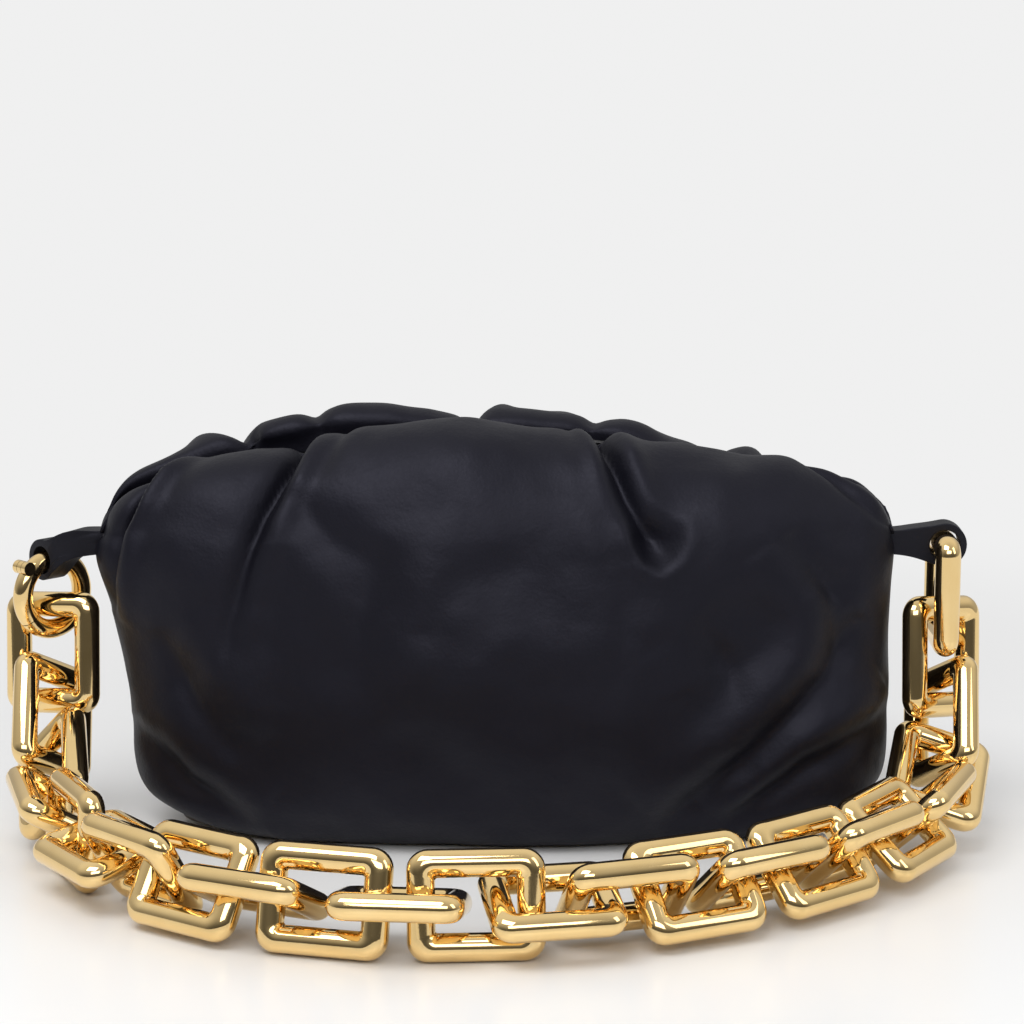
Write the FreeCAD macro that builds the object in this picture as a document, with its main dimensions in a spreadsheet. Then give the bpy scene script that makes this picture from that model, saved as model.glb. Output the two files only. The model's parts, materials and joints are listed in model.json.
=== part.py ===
"""Chain shoulder bag: a soft leather pouch on a hinged mouth frame, with a heavy link chain.

Millimetres. X runs along the mouth, the front faces -Y, Z is up, and the base stands on Z = 0.
The mouth frame and the strap all turn on one line: along X, at height hinge_height.
"""
import FreeCAD, Part
import math
import os
import re

import Sketcher
from FreeCAD import Matrix, Placement, Rotation, Vector

doc = FreeCAD.newDocument("chain_shoulder_bag")
sheet = doc.addObject("Spreadsheet::Sheet", "sizes")

SIZES = {
    # leather pouch: each level's ends are set in from the lips' ends; half depth; end radius
    "foot_in": 20, "foot_depth": 38, "foot_round": 27,
    "heel_level": 14, "heel_in": 9, "heel_depth": 53, "heel_round": 38,
    "belly_level": 55, "belly_in": 3, "belly_depth": 61, "belly_round": 44,
    "shoulder_drop": 18, "shoulder_in": -2, "shoulder_depth": 59, "shoulder_round": 37,
    "rim_rise": 8, "rim_in": -4.5, "rim_depth": 53, "rim_round": 29,
    "leather_thick": 2.5, "lining_thick": 1.2, "lining_gap": 1, "lining_ease": 4, "lining_drop": 13,
    "board_thick": 3, "board_margin": 8,
    # mouth: the lips are turned about the hinge line, the frame follows them inside
    "hinge_height": 110, "lip_length": 150, "lip_radius": 48, "lip_round": 24,
    "lip_angle": 98, "lip_foot": 12, "frame_foot": 1, "jaw_angle": 0.6,
    "frame_inset": 7.5, "frame_bar": 6, "frame_thick": 5, "frame_face": 0.5, "frame_shift": 3.8,
    "hem_thick": 2, "hem_gap": 1.7, "hem_foot": 12, "hem_grip": 3, "knuckle_radius": 5, "swivel_gap": 0.05,
    "magnet_radius": 2.2, "magnet_thick": 2, "magnet_stand": 0.3, "magnet_place": 60,
    # swivel studs, brackets and the leather loops that carry the chain
    "stud_radius": 2.5, "stud_head_radius": 4.5, "stud_head_thick": 3, "fit_gap": 0.02,
    "side_gap": 1.5, "bracket_gap": 1.2, "bracket_thick": 2.2, "bracket_radius": 7, "bracket_drop": 11,
    "wall_hole_gap": 0.5, "loop_thick": 2.2, "loop_half": 4.5, "loop_gap": 0.4, "ring_loop_gap": 1.25,
    "tail_past": 6.4, "tail_half": 4.5, "stud_grip": 5,
    "right_loop_drop": 1, "left_loop_drop": 7,
    # chain
    "link_length": 46.8, "half_width_ratio": 0.4062, "wire_ratio": 0.10684,
    "link_play": 0.95, "drop_gap": 1.5, "run_sink": 0.02, "bend_gap": 3.875, "run_skew_ratio": 0.10,
    # gate ring
    "ring_radius": 13.75, "ring_wire_radius": 3.75, "ring_angle": 45, "ring_play": 0.5,
    "gate_start_angle": 137, "gate_sweep_angle": 80, "gate_gap_angle": 1.2,
    "barrel_radius": 2.6, "barrel_length": 2.4, "barrel_half": 1.2, "barrel_gap": 0.2, "ring_pin_radius": 1.1,
}
for row, (name, value) in enumerate(SIZES.items(), start=1):
    sheet.set(f"A{row}", name)
    sheet.set(f"B{row}", str(value))
    sheet.setAlias(f"B{row}", name)
doc.recompute()


def size(name):
    """A driving size, read back from the sheet."""
    return float(sheet.get(name))


def less(start, inset):
    """The formula of a size drawn in by an inset, which is itself a sum."""
    return f"{start} - " + inset.replace(" + ", " - ")


def bind(thing, prop, formula):
    """Tie a property to the sheet; the formula names the cells without their sheet."""
    thing.setExpression(prop, re.sub(r"[a-z_]+", lambda word: f"sizes.{word[0]}", formula))


def value_of(formula):
    """The number that a sum of sizes, or of their products, gives: a sketch's first guess."""
    total = 0.0
    for term in re.split(r" (?=[+-] )", formula):
        product = -1.0 if term.startswith("- ") else 1.0
        for word in term.lstrip("+- ").split(" * "):
            product *= size(word) if word in SIZES else float(word)
        total += product
    return total


def new_body(label, place=None):
    body = doc.addObject("PartDesign::Body", label)
    body.Label = label
    body.Placement = place or Placement()
    return body


def new_sketch(body, plane, level="0"):
    """A sketch on one of the body's own planes, moved along that plane's normal by level."""
    sketch = body.newObject("Sketcher::SketchObject", f"{body.Name}_sketch")
    support = next(f for f in body.Origin.OriginFeatures if f.Role == plane)
    sketch.AttachmentSupport = (support, [""])
    sketch.MapMode = "FlatFace"
    if level != "0":
        bind(sketch, ".AttachmentOffset.Base.z", level)
    return sketch


def rule(sketch, kind, *where):
    """Add one constraint; a text at the end is a formula for its value."""
    formula = where[-1] if isinstance(where[-1], str) else None
    if formula is None:
        return sketch.addConstraint(Sketcher.Constraint(kind, *where))
    number = sketch.addConstraint(Sketcher.Constraint(kind, *where[:-1], value_of(formula)))
    bind(sketch, f"Constraints[{number}]", formula)
    return number


def arc(sketch, x, y, radius, start, end):
    circle = Part.Circle(Vector(x, y, 0), Vector(0, 0, 1), radius)
    return sketch.addGeometry(Part.ArcOfCircle(circle, start, end), False)


def side_radius(length, depth, rounding):
    """Radius of the long sides of an oval whose ends are round: the sides meet the ends smoothly."""
    return ((length - rounding) ** 2 / (depth - rounding) + rounding + depth) / 2


def bind_side(sketch, number, length, depth, rounding, inset="0"):
    """Tie a long side's radius to the sheet with the same sum as side_radius."""
    reach, rise = f"({length} - ({rounding}))", f"({depth} - ({rounding}))"
    bind(sketch, f"Constraints[{number}]",
         f"({reach}^2 / {rise} + {rounding} + {depth}) / 2 - ({inset})")


def oval(body, level, length, depth, rounding):
    """A level of the bag: two long bowed sides and two round ends, all tangent."""
    sketch = new_sketch(body, "XY_Plane", level)
    a, b, r = value_of(length), value_of(depth), value_of(rounding)
    side = side_radius(a, b, r)
    turn = math.atan2(side - b, a - r)
    half = math.pi
    arc(sketch, a - r, 0, r, -turn, turn)
    arc(sketch, 0, b - side, side, turn, half - turn)
    arc(sketch, r - a, 0, r, half - turn, half + turn)
    arc(sketch, 0, side - b, side, half + turn, 2 * half - turn)
    for first, second in ((0, 1), (1, 2), (2, 3)):
        rule(sketch, "Tangent", first, 2, second, 1)
    rule(sketch, "Coincident", 3, 2, 0, 1)
    for end in (0, 2):
        rule(sketch, "PointOnObject", end, 3, -1)
    rule(sketch, "PointOnObject", 1, 3, -2)
    rule(sketch, "Equal", 0, 2)
    rule(sketch, "Equal", 1, 3)
    rule(sketch, "Radius", 0, rounding)
    number = sketch.addConstraint(Sketcher.Constraint("DistanceX", -1, 1, 0, 3, a - r))
    bind(sketch, f"Constraints[{number}]", f"{length} - ({rounding})")
    number = sketch.addConstraint(Sketcher.Constraint("Radius", 1, side))
    bind_side(sketch, number, length, depth, rounding)
    return sketch


def arch(body, level, outer, inner, foot):
    """A band of the mouth's half oval, between two insets from the lips' outside."""
    sketch = new_sketch(body, "XZ_Plane", level)
    a, b, r = size("lip_length"), size("lip_radius"), size("lip_round")
    side = side_radius(a, b, r)
    turn = math.atan2(side - b, a - r)
    low = value_of(foot)
    for inset in (value_of(outer), value_of(inner)):
        start = math.asin(low / (r - inset))
        arc(sketch, a - r, 0, r - inset, start, turn)
        arc(sketch, 0, b - side, side - inset, turn, math.pi - turn)
        arc(sketch, r - a, 0, r - inset, math.pi - turn, math.pi - start)
    reach = [a - r + math.sqrt((r - value_of(i)) ** 2 - low ** 2) for i in (outer, inner)]
    for way in (1, -1):
        ends = [Vector(way * x, low, 0) for x in reach]
        sketch.addGeometry(Part.LineSegment(*ends), False)
    for first, second in ((0, 1), (1, 2), (3, 4)):
        rule(sketch, "Tangent", first, 2, second, 1)
    rule(sketch, "Coincident", 4, 2, 5, 1)
    for end in (0, 2):
        rule(sketch, "PointOnObject", end, 3, -1)
    rule(sketch, "PointOnObject", 1, 3, -2)
    for curve in range(3):
        rule(sketch, "Coincident", curve, 3, curve + 3, 3)
    rule(sketch, "Equal", 0, 2)
    for line, point, first, second in ((6, 1, 0, 3), (7, 2, 2, 5)):
        rule(sketch, "Coincident", line, 1, first, point)
        rule(sketch, "Coincident", line, 2, second, point)
        rule(sketch, "Horizontal", line)
        rule(sketch, "DistanceY", -1, 1, first, point, foot)
    rule(sketch, "DistanceX", -1, 1, 0, 3, "lip_length - lip_round")
    rule(sketch, "Radius", 0, less("lip_round", outer))
    rule(sketch, "Radius", 3, less("lip_round", inner))
    number = sketch.addConstraint(Sketcher.Constraint("Radius", 1, side - value_of(outer)))
    bind_side(sketch, number, "lip_length", "lip_radius", "lip_round", outer)
    return sketch


def disc(body, plane, level, x, y, radius):
    """A circle at x, y on a plane; both are formulas."""
    sketch = new_sketch(body, plane, level)
    centre = Vector(value_of(x), value_of(y), 0)
    sketch.addGeometry(Part.Circle(centre, Vector(0, 0, 1), value_of(radius)), False)
    rule(sketch, "Radius", 0, radius)
    for kind, formula, axis in (("DistanceX", x, -2), ("DistanceY", y, -1)):
        if formula == "0":
            rule(sketch, "PointOnObject", 0, 3, axis)
        else:
            rule(sketch, kind, -1, 1, 0, 3, formula)
    return sketch


def feature(body, kind, sketch, length=None):
    """A sketch-based feature of the body; Pad and Pocket both run along the sketch's normal."""
    made = body.newObject(f"PartDesign::{kind}", f"{body.Name}_{kind}")
    made.Profile = sketch
    if length:
        bind(made, "Length", length)
        made.Reversed = kind == "Pocket"
    sketch.Visibility = False
    return made


def turned(body, sketch, axis, angle, back=False):
    made = feature(body, "Revolution", sketch)
    made.ReferenceAxis = (sketch, [axis])
    bind(made, "Angle", angle)
    made.Reversed = back
    return made


def loft(body, kind, levels):
    sketches = [oval(body, *level) for level in levels]
    made = feature(body, kind, sketches[0])
    made.Sections = sketches[1:]
    for sketch in sketches:
        sketch.Visibility = False
    return made


RIM = "hinge_height + rim_rise"
LEVELS = {"foot": "0", "heel": "heel_level", "belly": "belly_level",
          "shoulder": "hinge_height - shoulder_drop", "rim": RIM}


def skin(inset, floor, ease=""):
    """Levels of the pouch drawn in by an inset, the foot by its ease too, from a floor to the rim."""
    levels = []
    for name, height in LEVELS.items():
        drawn = inset + ease if name == "foot" else inset
        sizes = (f"lip_length - {name}_in", f"{name}_depth", f"{name}_round")
        levels.append((floor if name == "foot" else height, *(less(part, drawn) for part in sizes)))
    return levels


def make_pouch():
    """The outer leather: a hollow, slack oval, open at the rim, with a hole for each stud."""
    body = new_body("leather_pouch")
    loft(body, "AdditiveLoft", skin("0", "0"))
    loft(body, "SubtractiveLoft", skin("leather_thick", "leather_thick"))
    hole = disc(body, "YZ_Plane", "rim_in - lip_length", "0", "hinge_height",
                "stud_radius + wall_hole_gap")
    feature(body, "Pocket", hole, "(lip_length - rim_in) * 2")
    return body


def make_lining():
    """The cloth inside, a little smaller all round and cut off below the lips."""
    body = new_body("lining")
    outside = "leather_thick + lining_gap"
    inside = "leather_thick + lining_gap + lining_thick"
    floor = "leather_thick + board_thick"
    ease = " + lining_ease"
    loft(body, "AdditiveLoft", skin(outside, floor, ease))
    loft(body, "SubtractiveLoft", skin(inside, floor + " + lining_thick", ease))
    trim = disc(body, "XY_Plane", "hinge_height - lining_drop", "0", "0",
                "lip_length - rim_in + rim_depth")
    feature(body, "Pocket", trim, RIM)
    return body


def make_board():
    body = new_body("base_board")
    outline = oval(body, "leather_thick", "lip_length - foot_in - board_margin",
                   "foot_depth - board_margin", "foot_round - board_margin")
    feature(body, "Pad", outline, "board_thick")
    return body


HINGE = Vector(0, 0, size("hinge_height"))
FRONT = Placement(HINGE, Rotation(Vector(1, 0, 0), size("jaw_angle")))
REAR = Placement(Vector(), Rotation(Vector(0, 0, 1), 180)) * FRONT
JAWS = {"front": FRONT, "rear": REAR}


def make_frame(name, place):
    """A flat metal arch with a knuckle on each leg; both arches are one design, set off sideways."""
    shift = Placement(Vector(size("frame_shift"), 0, 0), Rotation())
    body = new_body(f"{name}_frame", place * shift)
    bow = arch(body, "frame_face", "frame_inset", "frame_inset + frame_bar", "frame_foot")
    feature(body, "Pad", bow, "frame_thick")
    ends = ("lip_length - frame_inset - frame_bar", "0 - lip_length + frame_inset")
    for end in ends:
        feature(body, "Pad", disc(body, "YZ_Plane", end, "0", "0", "knuckle_radius"), "frame_bar")
    bore = disc(body, "YZ_Plane", "0 - lip_length", "0", "0", "stud_radius + swivel_gap")
    feature(body, "Pocket", bore, "lip_length * 2")
    top = frame_middle(size("magnet_place"))
    for way in ("0 - ", ""):
        at = disc(body, "XZ_Plane", "frame_face", f"{way}magnet_place", str(top),
                  "magnet_radius + fit_gap")
        feature(body, "Pocket", at, "magnet_thick")
    return body


def frame_middle(x):
    """Height of the middle of the frame's bar over the hinge line, at x."""
    a, b, r = size("lip_length"), size("lip_radius"), size("lip_round")
    side = side_radius(a, b, r)
    inset = size("frame_inset") + size("frame_bar") / 2
    return round(math.sqrt((side - inset) ** 2 - x ** 2) + b - side, 3)


def make_magnets(name, place):
    """Two magnets let into the face of the arch, standing a little proud."""
    shift = Placement(Vector(size("frame_shift"), 0, 0), Rotation())
    body = new_body(f"{name}_magnets", place * shift)
    body.AllowCompound = True
    top = str(frame_middle(size("magnet_place")))
    for way in ("0 - ", ""):
        face = disc(body, "XZ_Plane", "frame_face - magnet_stand", f"{way}magnet_place", top,
                    "magnet_radius")
        feature(body, "Pad", face, "magnet_thick + magnet_stand")
    return body


def make_lip(name, place):
    """The gathered leather over one arch: a shell turned about the hinge line."""
    body = new_body(f"{name}_lip", place)
    turned(body, arch(body, "0", "0", "leather_thick", "lip_foot"), "H_Axis", "lip_angle")
    return body


def make_hem(name, place):
    """The lip's hem: a flat band under the lip, sewn along the far face of the arch."""
    body = new_body(f"{name}_hem", place)
    band = arch(body, "frame_face + frame_thick", "leather_thick + hem_gap",
                "frame_inset + hem_grip", "hem_foot")
    feature(body, "Pad", band, "hem_thick")
    return body


TAIL = "lip_length + tail_past"
WIRE = "link_length * wire_ratio"
HALF_WIDTH = "link_length * half_width_ratio"
DROP = f"lip_length + drop_gap + {HALF_WIDTH}"
SIDES = {"right": Placement(HINGE, Rotation()),
         "left": Placement(HINGE, Rotation(Vector(0, 0, 1), 180))}


def make_bracket(name, place):
    """The plate inside each end of the pouch that the stud turns in."""
    body = new_body(f"{name}_bracket", place)
    start = "lip_length - frame_inset + frame_shift + bracket_gap"
    feature(body, "Pad", disc(body, "YZ_Plane", start, "0", "0", "bracket_radius"), "bracket_thick")
    tang = new_sketch(body, "YZ_Plane", start)
    box(tang, "bracket_radius", "bracket_drop", "0")
    feature(body, "Pad", tang, "bracket_thick")
    bore = disc(body, "YZ_Plane", start, "0", "0", "stud_radius + swivel_gap")
    feature(body, "Pocket", bore, "bracket_thick")
    return body


def box(sketch, half, down, up):
    """A rectangle of a half width either side of the vertical axis, from -down to up."""
    w, low, high = value_of(half), -value_of(down), value_of(up)
    corners = [Vector(x, y, 0) for x, y in ((-w, low), (w, low), (w, high), (-w, high))]
    for start, end in zip(corners, corners[1:] + corners[:1]):
        sketch.addGeometry(Part.LineSegment(start, end), False)
    for line in range(4):
        rule(sketch, "Coincident", line, 2, (line + 1) % 4, 1)
        rule(sketch, "Vertical" if line % 2 else "Horizontal", line)
    rule(sketch, "DistanceX", -1, 1, 0, 2, half)
    rule(sketch, "DistanceX", 0, 1, -1, 1, half)
    rule(sketch, "DistanceY", 0, 1, -1, 1, down)
    if up == "0":
        rule(sketch, "PointOnObject", 2, 1, -1)
    else:
        rule(sketch, "DistanceY", -1, 1, 2, 1, up)


def make_stud(name, place):
    """The swivel stud: headed inside the mouth, through both knuckles, the bracket and the wall."""
    body = new_body(f"{name}_stud", place)
    seat = "lip_length - frame_inset - frame_bar - frame_shift - side_gap"
    head = disc(body, "YZ_Plane", seat + " - stud_head_thick", "0", "0", "stud_head_radius")
    feature(body, "Pad", head, "stud_head_thick")
    shaft = disc(body, "YZ_Plane", seat, "0", "0", "stud_radius")
    feature(body, "Pad", shaft, f"{TAIL} + stud_grip - ({seat})")
    return body


def make_loop(name, place, eye, drop, turn):
    """A leather loop: a tail on the stud, and an eye round the metal that hangs in it."""
    body = new_body(f"{name}_loop", place)
    tail = new_sketch(body, "YZ_Plane", TAIL)
    box(tail, "loop_half", "tail_half", "tail_half")
    feature(body, "Pad", tail, f"{DROP} - ({TAIL}) - ({eye})")
    for kind, radius in (("Pad", eye + " + loop_thick"), ("Pocket", eye)):
        ring = disc(body, "XZ_Plane", "0", "0", "0", radius)
        ring.AttachmentOffset = Placement(Vector(), Rotation(Vector(0, 1, 0), turn))
        bind(ring, ".AttachmentOffset.Base.x", DROP)
        bind(ring, ".AttachmentOffset.Base.y", f"0 - {drop}")
        feature(body, kind, ring, "loop_half * 2").SideType = "Symmetric"
    bore = disc(body, "YZ_Plane", TAIL, "0", "0", "stud_radius + fit_gap")
    feature(body, "Pocket", bore, "stud_grip + fit_gap")
    return body


LINK_NAMES = [f"link_{number:02d}" for number in range(1, 25)]
# How far each link is turned about its own length, from the right loop round to the gate ring.
LINK_TURNS = (90, -39, 51, -20, 42, -40, 45, -48, 42, -50, 50, -16,
              -80, 14, -74, 28, -58, 60, -12, -86, 29, -54, 49, -17)


def make_link(name, place):
    """One chain link: round wire bent sharply to a rectangle, closed, with its corners rounded."""
    body = new_body(name, place)
    path = new_sketch(body, "XY_Plane")
    reach, rise = f"link_length * 0.5 - {WIRE}", f"{HALF_WIDTH} - {WIRE}"
    box(path, reach, rise, rise)
    wire = disc(body, "YZ_Plane", "0", "0", "0", WIRE)
    bind(wire, ".AttachmentOffset.Base.x", rise)
    bent = feature(body, "AdditivePipe", wire)
    bent.Spine = (path, [""])
    bent.Transition = "Round corner"
    path.Visibility = False
    return body


def link_pitch():
    """Distance from one link's meeting point to the next, with the chain's play taken out."""
    return size("link_length") - 4 * value_of(WIRE) - size("link_play")


def chain_top(wire_height):
    """Height where an end link meets what holds it, when its end bar is at wire_height."""
    bar_reach = size("link_length") / 2 - value_of(WIRE)
    return wire_height - (bar_reach - link_pitch() / 2)


def chain_route(depth, right_top, left_top):
    """Points along the chain: down from the right loop, round in front of the bag, up to the left."""
    side, run = value_of(DROP), value_of(HALF_WIDTH) - size("run_sink")
    bend = min(right_top, left_top) - run - size("bend_gap")
    skew = size("run_skew_ratio")
    steps = 1200
    plan = []
    for step in range(steps + 1):
        angle = math.pi * step / steps
        bow = depth * math.sin(angle) * (1 - skew * math.cos(angle))
        plan.append(Vector(side * math.cos(angle), -bow, 0))
    along = [0.0]
    for before, after in zip(plan, plan[1:]):
        along.append(along[-1] + before.distanceToPoint(after))

    def lift(distance):
        short = max(bend - distance, 0)
        return bend - math.sqrt(bend ** 2 - short ** 2)

    points = [Vector(side, 0, right_top)]
    for point, distance in zip(plan, along):
        height = run + lift(distance) + lift(along[-1] - distance)
        points.append(Vector(point.x, point.y, height))
    return points + [Vector(-side, 0, left_top)]


def walk(points, pitch, count):
    """Equal strides along the points; also what is left over at the end."""
    found, here, index = [points[0]], points[0], 1
    while len(found) <= count and index < len(points):
        if here.distanceToPoint(points[index]) < pitch:
            index += 1
            continue
        before, after = points[index - 1], points[index]
        if before.distanceToPoint(here) > pitch:
            before = here
        near, far = 0.0, 1.0
        for _ in range(40):
            middle = (near + far) / 2
            trial = before + (after - before) * middle
            if here.distanceToPoint(trial) < pitch:
                near = middle
            else:
                far = middle
        here = before + (after - before) * near
        found.append(here)
    return found


def chain_joints(right_top, left_top):
    """Bow the chain forward just so far that its links reach from loop to ring."""
    count, pitch = len(LINK_NAMES), link_pitch()
    shallow, deep = 1.0, 3 * value_of(DROP)
    for _ in range(40):
        depth = (shallow + deep) / 2
        points = chain_route(depth, right_top, left_top)
        found = walk(points, pitch, count - 1)
        if len(found) < count or found[-1].distanceToPoint(points[-1]) < pitch:
            shallow = depth
        else:
            deep = depth
    found = walk(chain_route(deep, right_top, left_top), pitch, count - 1)
    print(f"chain: {count} links, pitch {pitch:.2f}, bowed {deep:.1f} in front")
    return found + [points[-1]]


def link_place(start, end, turn):
    """Set a link between two meeting points, turned about its length by an angle."""
    along = (end - start).normalize()
    middle = (start + end) * 0.5
    across = Vector(-along.y, along.x, 0)
    if across.Length < 0.05:
        across = Vector(middle.x, 0, 0)
    across.normalize()
    if across.dot(Vector(middle.x, middle.y + size("foot_depth"), 0)) < 0:
        across = across * -1
    up = across.cross(along)
    if up.dot(Vector(0, -0.2, 1)) < 0:
        up = up * -1
    turn = math.radians(turn)
    width = across * math.cos(turn) + up * math.sin(turn)
    normal = along.cross(width)
    axes = Matrix(along.x, width.x, normal.x, middle.x, along.y, width.y, normal.y, middle.y,
                  along.z, width.z, normal.z, middle.z, 0, 0, 0, 1)
    return Placement(axes)


def ring_place(extra=0):
    """The gate ring stands upright under the left loop, turned, with its hinge end on local X."""
    turn = math.radians(size("ring_angle"))
    level = size("hinge_height") - size("left_loop_drop") - size("ring_radius")
    across = Vector(math.cos(turn), math.sin(turn), 0)
    normal = Vector(math.sin(turn), -math.cos(turn), 0)
    axes = Matrix(across.x, 0, normal.x, -value_of(DROP), across.y, 0, normal.y, 0,
                  0, 1, 0, level, 0, 0, 0, 1)
    spin = Rotation(Vector(0, 0, 1), size("gate_start_angle") + extra)
    return Placement(axes) * Placement(Vector(), spin)


BARREL = "ring_radius + ring_wire_radius"


def make_ring():
    """The fixed part of the gate ring, with two hinge barrels at its open end."""
    body = new_body("gate_ring", ring_place())
    wire = disc(body, "XZ_Plane", "0", "ring_radius", "0", "ring_wire_radius")
    turned(body, wire, "V_Axis", "360 - gate_sweep_angle", back=True)
    half = "barrel_half + barrel_gap"
    for level in (half, f"0 - barrel_half - barrel_gap - barrel_length"):
        barrel = disc(body, "XY_Plane", level, BARREL, "0", "barrel_radius")
        feature(body, "Pad", barrel, "barrel_length")
    room = disc(body, "XY_Plane", f"0 - barrel_half - barrel_gap", BARREL, "0",
                "barrel_radius + barrel_gap")
    feature(body, "Pocket", room, f"2 * ({half})")
    bore_pin(body)
    return body


def make_gate():
    """The hinged part of the ring: it swings outwards on the pin to let a link in."""
    body = new_body("ring_gate", ring_place())
    wire = disc(body, "XZ_Plane", "0", "ring_radius", "0", "ring_wire_radius")
    wire.AttachmentOffset = Placement(Vector(), Rotation(Vector(0, 1, 0), size("gate_gap_angle")))
    turned(body, wire, "V_Axis", "gate_sweep_angle - 2 * gate_gap_angle")
    barrel = disc(body, "XY_Plane", "0 - barrel_half", BARREL, "0", "barrel_radius")
    feature(body, "Pad", barrel, "2 * barrel_half")
    for level in ("barrel_half", "0 - barrel_half - ring_wire_radius"):
        room = disc(body, "XY_Plane", level, BARREL, "0", "barrel_radius + barrel_gap")
        feature(body, "Pocket", room, "ring_wire_radius")
    bore_pin(body)
    return body


def bore_pin(body):
    reach = "barrel_half + barrel_gap + barrel_length"
    bore = disc(body, "XY_Plane", less("0", reach), BARREL, "0", "ring_pin_radius + swivel_gap")
    feature(body, "Pocket", bore, f"2 * ({reach})")


def make_ring_pin():
    body = new_body("ring_pin", ring_place())
    reach = "barrel_half + barrel_gap + barrel_length"
    pin = disc(body, "XY_Plane", less("0", reach), BARREL, "0", "ring_pin_radius")
    feature(body, "Pad", pin, f"2 * ({reach})")
    return body


parts = [make_pouch(), make_lining(), make_board()]
for jaw, place in JAWS.items():
    parts += [make_frame(jaw, place), make_magnets(jaw, place)]
    parts += [make_lip(jaw, place), make_hem(jaw, place)]
for name, place in SIDES.items():
    parts += [make_bracket(name, place), make_stud(name, place)]
parts.append(make_loop("right", SIDES["right"], f"{WIRE} + loop_gap",
                       "right_loop_drop", 0))
parts.append(make_loop("left", SIDES["left"], "ring_wire_radius + ring_loop_gap",
                       "left_loop_drop", size("ring_angle") - 90))
ring_foot = size("hinge_height") - size("left_loop_drop") - 2 * size("ring_radius")
last_bar = ring_foot + size("ring_wire_radius") + size("ring_play") + value_of(WIRE)
first_bar = size("hinge_height") - size("right_loop_drop")
meeting = chain_joints(chain_top(first_bar), chain_top(last_bar))
for name, start, end, turn in zip(LINK_NAMES, meeting, meeting[1:], LINK_TURNS):
    parts.append(make_link(name, link_place(start, end, turn)))
parts += [make_ring(), make_gate(), make_ring_pin()]

doc.recompute()
for thing in doc.Objects:
    if "Invalid" in thing.State or "Error" in thing.State:
        raise RuntimeError(f"{thing.Name} did not build: {thing.State}")
os.makedirs("parts", exist_ok=True)
for part in parts:
    if part.Shape.isNull() or not part.Shape.isValid():
        raise RuntimeError(f"{part.Label} has no sound shape")
    if len(part.Shape.Solids) != (2 if part.Label.endswith("magnets") else 1):
        raise RuntimeError(f"{part.Label} fell into {len(part.Shape.Solids)} pieces")
    part.Shape.exportStep(f"parts/{part.Label}.step")
print(f"{len(parts)} parts written")
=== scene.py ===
# %% [markdown]
# A chain shoulder bag: slack black leather gathered on a hinged mouth frame, and a heavy gold chain
# laid in front of it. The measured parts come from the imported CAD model. This lesson adds what CAD
# leaves plain: the soft leather, the cloth inside, the loops, the links' rounding, the finishes, the
# light and the camera.

# %% Load the frame
import json
import math

import bmesh
import bpy
import numpy as np
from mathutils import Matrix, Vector, noise


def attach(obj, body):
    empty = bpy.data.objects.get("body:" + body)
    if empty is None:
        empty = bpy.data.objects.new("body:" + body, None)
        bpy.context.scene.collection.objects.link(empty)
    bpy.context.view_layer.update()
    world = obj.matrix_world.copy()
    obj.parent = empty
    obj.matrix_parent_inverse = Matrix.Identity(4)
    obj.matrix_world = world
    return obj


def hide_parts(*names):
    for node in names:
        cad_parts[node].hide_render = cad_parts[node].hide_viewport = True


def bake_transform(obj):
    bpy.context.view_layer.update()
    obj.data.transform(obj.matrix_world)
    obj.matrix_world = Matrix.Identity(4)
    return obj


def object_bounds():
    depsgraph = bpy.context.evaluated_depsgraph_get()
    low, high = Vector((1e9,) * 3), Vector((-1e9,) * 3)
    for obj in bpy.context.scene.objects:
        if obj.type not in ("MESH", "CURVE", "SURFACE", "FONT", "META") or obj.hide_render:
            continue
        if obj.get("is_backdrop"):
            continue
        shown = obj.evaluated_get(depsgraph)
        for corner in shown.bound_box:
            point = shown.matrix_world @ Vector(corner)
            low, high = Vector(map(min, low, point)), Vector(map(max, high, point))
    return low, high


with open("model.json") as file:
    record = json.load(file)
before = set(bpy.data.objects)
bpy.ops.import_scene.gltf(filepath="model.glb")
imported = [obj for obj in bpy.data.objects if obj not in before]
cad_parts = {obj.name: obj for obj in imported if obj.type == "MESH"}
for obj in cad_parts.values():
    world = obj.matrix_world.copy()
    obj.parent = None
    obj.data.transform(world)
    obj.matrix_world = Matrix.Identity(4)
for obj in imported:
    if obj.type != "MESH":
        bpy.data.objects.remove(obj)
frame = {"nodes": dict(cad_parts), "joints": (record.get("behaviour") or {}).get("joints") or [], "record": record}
CAD_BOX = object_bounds()
MM = 0.001
HINGE = next(j for j in frame["joints"] if j["name"] == "front_open")["pos_m"][2]
print("nodes", len(frame["nodes"]), "hinge line at", round(HINGE, 4), "m")

# %% [markdown]
# Shader maths reads best as plain expressions. Finish holds one material's node tree and adds any
# node by its type. Value wraps a socket, so that 0.4 + 0.2 * grain writes the Math nodes itself.


# %% Node helpers
class Value:
    """A float socket that adds Math nodes when it is used in an expression."""

    def __init__(self, finish, socket):
        self.finish, self.socket = finish, socket

    def math(self, operation, first, second):
        made = self.finish.node("ShaderNodeMath", {"operation": operation}, {0: first, 1: second})
        return Value(self.finish, made.outputs[0])

    def __add__(self, other):
        return self.math("ADD", self, other)

    def __radd__(self, other):
        return self.math("ADD", other, self)

    def __mul__(self, other):
        return self.math("MULTIPLY", self, other)

    def __rmul__(self, other):
        return self.math("MULTIPLY", other, self)

    def __pow__(self, other):
        return self.math("POWER", self, other)


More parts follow.
